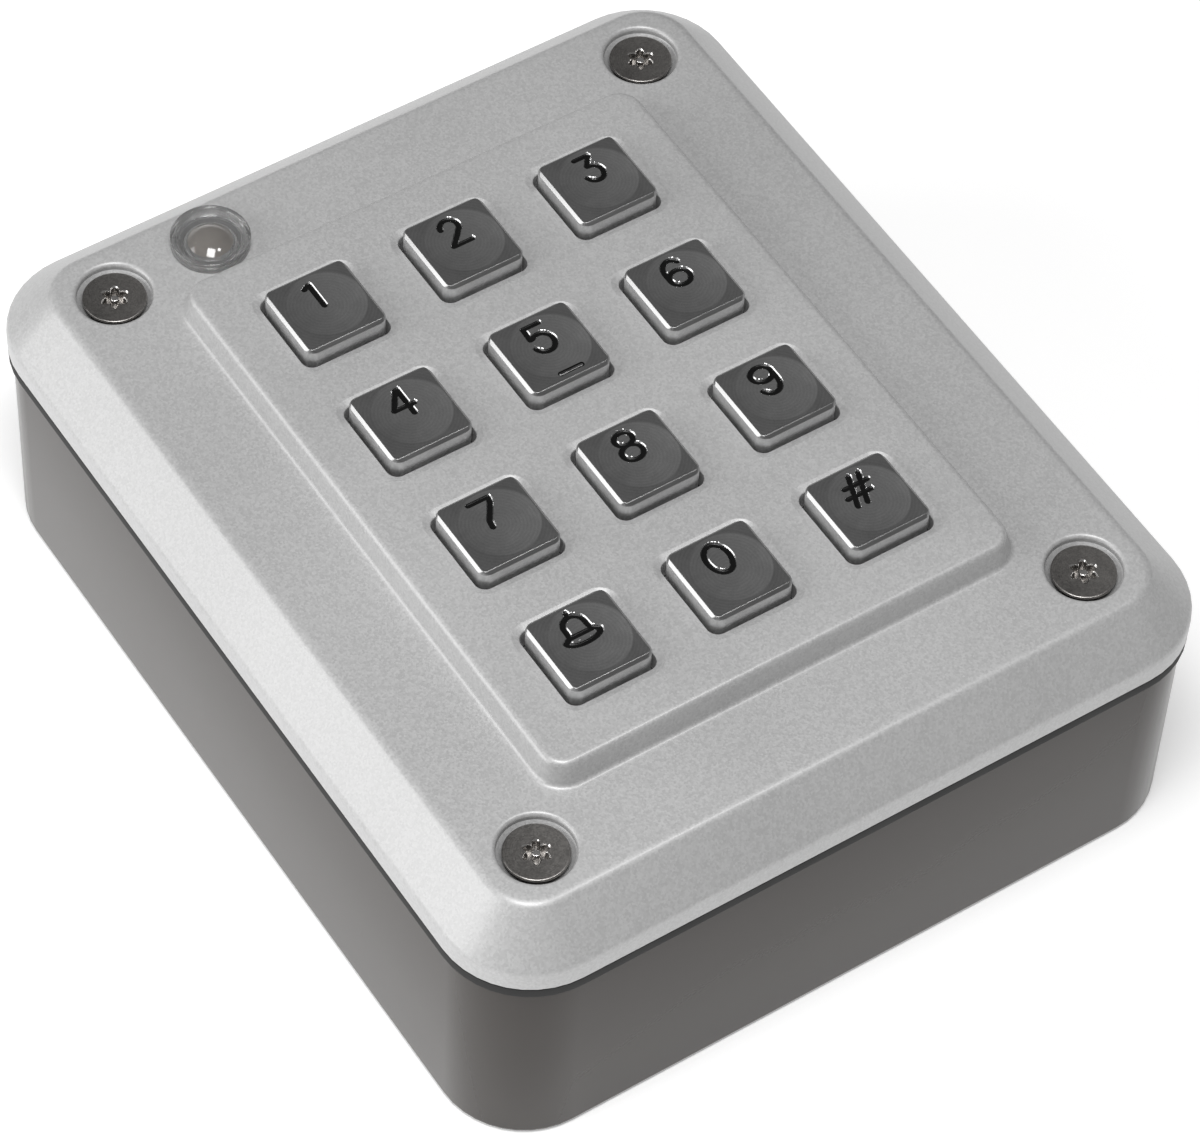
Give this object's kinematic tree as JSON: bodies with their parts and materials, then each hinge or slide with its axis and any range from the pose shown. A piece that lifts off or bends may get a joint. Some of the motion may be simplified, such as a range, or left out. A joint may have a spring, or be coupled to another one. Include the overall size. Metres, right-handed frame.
{
  "type": "keypad access reader",
  "caption": "Surface-mounted metal door keypad with sprung square keys, a status light, corner security screws and a deep back box.",
  "frame": {"origin": "centre of the back box's flat back face, where it meets the wall", "axes": "+Z out of the wall through the keys, +Y towards the top of the reader, +X to the right as the keys are read"},
  "size_m": [0.1, 0.118, 0.0444],
  "materials": {
    "sand_silver_paint": "fine sand-textured silver-grey metallic paint",
    "dark_grey_paint": "semi-gloss dark grey paint",
    "satin_chrome": "satin-polished metal with bright rounded edges",
    "dark_steel": "dark polished screw steel",
    "black_rubber": "matt black rubber",
    "carbon_rubber": "matt carbon-filled rubber",
    "brass": "turned brass",
    "clear_lens": "clear polished plastic",
    "led_resin": "water-clear resin",
    "dark_resin": "dark tinted resin",
    "tinned_steel": "bright plated steel",
    "bright_aluminium": "turned aluminium",
    "spring_steel": "drawn spring wire",
    "circuit_board": "green solder-resist over glass-fibre board",
    "gold_plate": "gold-plated copper",
    "dark_plastic": "moulded dark plastic",
    "ivory_plastic": "moulded ivory plastic",
    "green_plastic": "moulded green plastic",
    "blue_plastic": "moulded blue plastic"
  },
  "bodies": {
    "housing": {"front_cover": "sand_silver_paint", "back_box": "dark_grey_paint", "cover_gasket": "black_rubber", "cover_screws": "dark_steel", "threaded_inserts": "brass", "cable_grommet": "black_rubber", "led_lens": "clear_lens", "lens_seal": "black_rubber", "status_led": "led_resin", "led_leads": "tinned_steel", "key_guide_plate": "dark_plastic", "keypad_board": "circuit_board", "contact_pads": "gold_plate", "control_board": "circuit_board", "board_spacers": "bright_aluminium", "board_screws": "tinned_steel", "board_plug": "ivory_plastic", "board_socket": "dark_plastic", "terminal_block": "green_plastic", "terminal_screws": "tinned_steel", "relay": "blue_plastic", "buzzer": "dark_plastic", "control_chips": "dark_plastic", "tamper_sensor": "dark_resin", "key_spring_1": "spring_steel", "key_spring_2": "spring_steel", "key_spring_3": "spring_steel", "key_spring_4": "spring_steel", "key_spring_5": "spring_steel", "key_spring_6": "spring_steel", "key_spring_7": "spring_steel", "key_spring_8": "spring_steel", "key_spring_9": "spring_steel", "key_spring_bell": "spring_steel", "key_spring_0": "spring_steel", "key_spring_hash": "spring_steel"},
    "key_1_moving": {"key_1": "satin_chrome", "contact_pill_1": "carbon_rubber"},
    "key_2_moving": {"key_2": "satin_chrome", "contact_pill_2": "carbon_rubber"},
    "key_3_moving": {"key_3": "satin_chrome", "contact_pill_3": "carbon_rubber"},
    "key_4_moving": {"key_4": "satin_chrome", "contact_pill_4": "carbon_rubber"},
    "key_5_moving": {"key_5": "satin_chrome", "contact_pill_5": "carbon_rubber"},
    "key_6_moving": {"key_6": "satin_chrome", "contact_pill_6": "carbon_rubber"},
    "key_7_moving": {"key_7": "satin_chrome", "contact_pill_7": "carbon_rubber"},
    "key_8_moving": {"key_8": "satin_chrome", "contact_pill_8": "carbon_rubber"},
    "key_9_moving": {"key_9": "satin_chrome", "contact_pill_9": "carbon_rubber"},
    "key_bell_moving": {"key_bell": "satin_chrome", "contact_pill_bell": "carbon_rubber"},
    "key_0_moving": {"key_0": "satin_chrome", "contact_pill_0": "carbon_rubber"},
    "key_hash_moving": {"key_hash": "satin_chrome", "contact_pill_hash": "carbon_rubber"}
  },
  "joints": [
    {"name": "key_1_press", "type": "slide", "parent": "housing", "child": "key_1_moving", "axis": [0, 0, -1], "range_m": [0, 0.0012], "stiffness_N_per_m": 600, "springref_m": -0.0015, "deforming": ["key_spring_1"]},
    {"name": "key_2_press", "type": "slide", "parent": "housing", "child": "key_2_moving", "axis": [0, 0, -1], "range_m": [0, 0.0012], "stiffness_N_per_m": 600, "springref_m": -0.0015, "deforming": ["key_spring_2"]},
    {"name": "key_3_press", "type": "slide", "parent": "housing", "child": "key_3_moving", "axis": [0, 0, -1], "range_m": [0, 0.0012], "stiffness_N_per_m": 600, "springref_m": -0.0015, "deforming": ["key_spring_3"]},
    {"name": "key_4_press", "type": "slide", "parent": "housing", "child": "key_4_moving", "axis": [0, 0, -1], "range_m": [0, 0.0012], "stiffness_N_per_m": 600, "springref_m": -0.0015, "deforming": ["key_spring_4"]},
    {"name": "key_5_press", "type": "slide", "parent": "housing", "child": "key_5_moving", "axis": [0, 0, -1], "range_m": [0, 0.0012], "stiffness_N_per_m": 600, "springref_m": -0.0015, "deforming": ["key_spring_5"]},
    {"name": "key_6_press", "type": "slide", "parent": "housing", "child": "key_6_moving", "axis": [0, 0, -1], "range_m": [0, 0.0012], "stiffness_N_per_m": 600, "springref_m": -0.0015, "deforming": ["key_spring_6"]},
    {"name": "key_7_press", "type": "slide", "parent": "housing", "child": "key_7_moving", "axis": [0, 0, -1], "range_m": [0, 0.0012], "stiffness_N_per_m": 600, "springref_m": -0.0015, "deforming": ["key_spring_7"]},
    {"name": "key_8_press", "type": "slide", "parent": "housing", "child": "key_8_moving", "axis": [0, 0, -1], "range_m": [0, 0.0012], "stiffness_N_per_m": 600, "springref_m": -0.0015, "deforming": ["key_spring_8"]},
    {"name": "key_9_press", "type": "slide", "parent": "housing", "child": "key_9_moving", "axis": [0, 0, -1], "range_m": [0, 0.0012], "stiffness_N_per_m": 600, "springref_m": -0.0015, "deforming": ["key_spring_9"]},
    {"name": "key_bell_press", "type": "slide", "parent": "housing", "child": "key_bell_moving", "axis": [0, 0, -1], "range_m": [0, 0.0012], "stiffness_N_per_m": 600, "springref_m": -0.0015, "deforming": ["key_spring_bell"]},
    {"name": "key_0_press", "type": "slide", "parent": "housing", "child": "key_0_moving", "axis": [0, 0, -1], "range_m": [0, 0.0012], "stiffness_N_per_m": 600, "springref_m": -0.0015, "deforming": ["key_spring_0"]},
    {"name": "key_hash_press", "type": "slide", "parent": "housing", "child": "key_hash_moving", "axis": [0, 0, -1], "range_m": [0, 0.0012], "stiffness_N_per_m": 600, "springref_m": -0.0015, "deforming": ["key_spring_hash"]}
  ]
}
